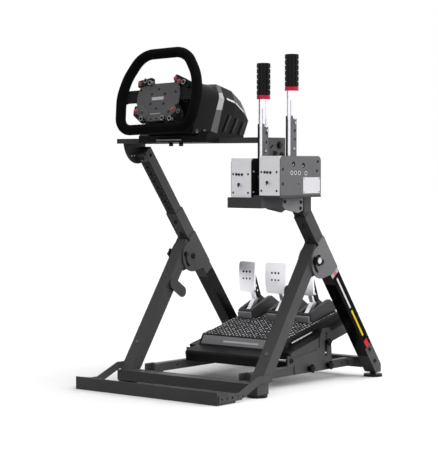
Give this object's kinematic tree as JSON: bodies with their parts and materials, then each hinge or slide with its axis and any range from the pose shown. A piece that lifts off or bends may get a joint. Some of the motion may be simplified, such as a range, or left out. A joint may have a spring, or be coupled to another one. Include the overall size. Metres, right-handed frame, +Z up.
{
  "type": "racing wheel stand",
  "caption": "Folding tubular stand that holds a steering wheel and its base, floor pedals and side levers for driving games.",
  "frame": {"origin": "on the floor, under the middle of the object's box", "axes": "+X to the driver's right, +Y away from the driver, +Z up"},
  "size_m": [0.7164, 0.7926, 0.965],
  "materials": {
    "frame_coat": "fine textured powder coat, charcoal",
    "suede": "black suede",
    "hub_grey": "grey anodised, satin",
    "black_plastic": "matt black",
    "band_grey": "satin grey",
    "base_plastic": "fine moulded texture",
    "rubber": "matt",
    "bare_aluminium": "brushed",
    "grey_aluminium": "bead blasted",
    "pedal_black": "matt black"
  },
  "bodies": {
    "rear_frame": {"rear_leg_left": "frame_coat", "rear_leg_right": "frame_coat", "fold_bracket_left": "frame_coat", "fold_bracket_right": "frame_coat", "rear_cross_tube": "frame_coat", "rear_foot_left": "rubber", "rear_foot_right": "rubber"},
    "front_frame": {"front_leg_left": "frame_coat", "front_leg_right": "frame_coat", "front_cross_tube": "frame_coat", "front_foot_left": "rubber", "front_foot_right": "rubber", "foot_bar": "frame_coat", "foot_arm_left": "frame_coat", "foot_arm_right": "frame_coat", "fold_knob_left": "black_plastic", "fold_knob_right": "black_plastic"},
    "pedal_rails": {"pedal_rail_left": "frame_coat", "pedal_rail_right": "frame_coat", "tray_side_plate_left": "frame_coat", "tray_side_plate_right": "frame_coat", "rail_cross_bar": "frame_coat"},
    "pedal_plate": {"pedal_tray": "frame_coat", "pedal_base": "pedal_black", "clutch_housing": "pedal_black", "brake_housing": "pedal_black", "throttle_housing": "pedal_black"},
    "clutch": {"clutch_pedal": "bare_aluminium", "clutch_arm": "black_plastic"},
    "brake": {"brake_pedal": "bare_aluminium", "brake_arm": "black_plastic"},
    "throttle": {"throttle_pedal": "bare_aluminium", "throttle_arm": "black_plastic"},
    "uprights": {"inner_tube_left": "frame_coat", "inner_tube_right": "frame_coat", "lever_post": "frame_coat", "lever_tray": "frame_coat", "inner_lever_housing": "grey_aluminium", "outer_lever_housing": "grey_aluminium", "inner_lever_face": "bare_aluminium", "outer_lever_face": "bare_aluminium"},
    "inner_handle": {"inner_lever": "bare_aluminium", "inner_grip": "black_plastic"},
    "outer_handle": {"outer_lever": "bare_aluminium", "outer_grip": "black_plastic"},
    "deck": {"wheel_deck": "frame_coat", "base_foot": "base_plastic", "base_front": "base_plastic", "base_band": "band_grey", "base_rear": "base_plastic"},
    "steering_wheel": {"wheel_rim": "suede", "wheel_spokes": "black_plastic", "wheel_plate": "hub_grey", "button_box": "black_plastic", "wheel_hub": "black_plastic"}
  },
  "joints": [
    {"name": "frame_fold", "type": "hinge", "parent": "rear_frame", "child": "front_frame", "pos_m": [-0.07375, 0.06867, 0.36], "axis": [1, 0, 0], "range_deg": [0, 62]},
    {"name": "rail_swing", "type": "hinge", "parent": "rear_frame", "child": "pedal_rails", "pos_m": [-0.07375, 0.31867, 0.044], "axis": [-1, 0, 0], "range_deg": [0, 53]},
    {"name": "pedal_plate_tilt", "type": "hinge", "parent": "pedal_rails", "child": "pedal_plate", "pos_m": [-0.07375, 0.02367, 0.075], "axis": [1, 0, 0], "range_deg": [-8, 4]},
    {"name": "height_slide", "type": "slide", "parent": "rear_frame", "child": "uprights", "axis": [0, -0.6046, 0.7965], "range_m": [0, 0.1]},
    {"name": "deck_tilt", "type": "hinge", "parent": "uprights", "child": "deck", "pos_m": [-0.07375, -0.11756, 0.66468], "axis": [1, 0, 0], "range_deg": [-15, 12]},
    {"name": "wheel_turn", "type": "hinge", "parent": "deck", "child": "steering_wheel", "pos_m": [-0.07375, -0.33413, 0.82198], "axis": [0, -0.9703, 0.2419], "range_deg": [-450, 450]},
    {"name": "clutch_press", "type": "hinge", "parent": "pedal_plate", "child": "clutch", "pos_m": [-0.07375, 0.20996, 0.18767], "axis": [-1, 0, 0], "range_deg": [0, 16], "stiffness_Nm_per_rad": 14, "springref_deg": -5.73},
    {"name": "brake_press", "type": "hinge", "parent": "pedal_plate", "child": "brake", "pos_m": [-0.07375, 0.20996, 0.18767], "axis": [-1, 0, 0], "range_deg": [0, 10], "stiffness_Nm_per_rad": 40, "springref_deg": -5.73},
    {"name": "throttle_press", "type": "hinge", "parent": "pedal_plate", "child": "throttle", "pos_m": [-0.07375, 0.20996, 0.18767], "axis": [-1, 0, 0], "range_deg": [0, 16], "stiffness_Nm_per_rad": 10, "springref_deg": -5.73},
    {"name": "inner_lever_pull", "type": "hinge", "parent": "uprights", "child": "inner_handle", "pos_m": [0.22925, -0.25333, 0.59998], "axis": [1, 0, 0], "range_deg": [0, 15], "stiffness_Nm_per_rad": 30, "springref_deg": -5.73},
    {"name": "outer_lever_pull", "type": "hinge", "parent": "uprights", "child": "outer_handle", "pos_m": [0.32325, -0.25333, 0.60598], "axis": [1, 0, 0], "range_deg": [0, 15], "stiffness_Nm_per_rad": 30, "springref_deg": -5.73}
  ],
  "couplings": [
    {"joint": "rail_swing", "follows": "frame_fold", "ratio": 0.85484}
  ]
}
